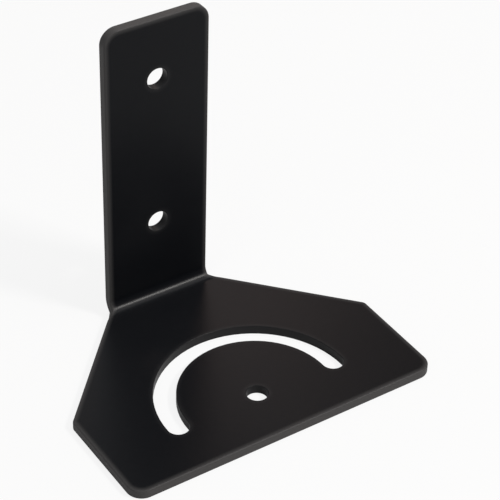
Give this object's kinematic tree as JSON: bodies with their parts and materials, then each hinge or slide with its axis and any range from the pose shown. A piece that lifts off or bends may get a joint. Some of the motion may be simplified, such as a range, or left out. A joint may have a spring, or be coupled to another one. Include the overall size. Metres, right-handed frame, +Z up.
{
  "type": "illuminator wall bracket",
  "caption": "Folded sheet-steel wall bracket: a narrow drilled leg and a wide shelf with a pivot hole and a half-round slot that aims an illuminator",
  "frame": {"origin": "on the rear face, midway between the two wall holes", "axes": "X across the bracket, -Y out from the wall towards the shelf's front edge, Z up along the leg"},
  "size_m": [0.1046, 0.0768, 0.102],
  "materials": {
    "black_coat": "satin black powder coat with a slight grain"
  },
  "bodies": {
    "root": {"bracket_sheet": "black_coat"}
  },
  "joints": []
}
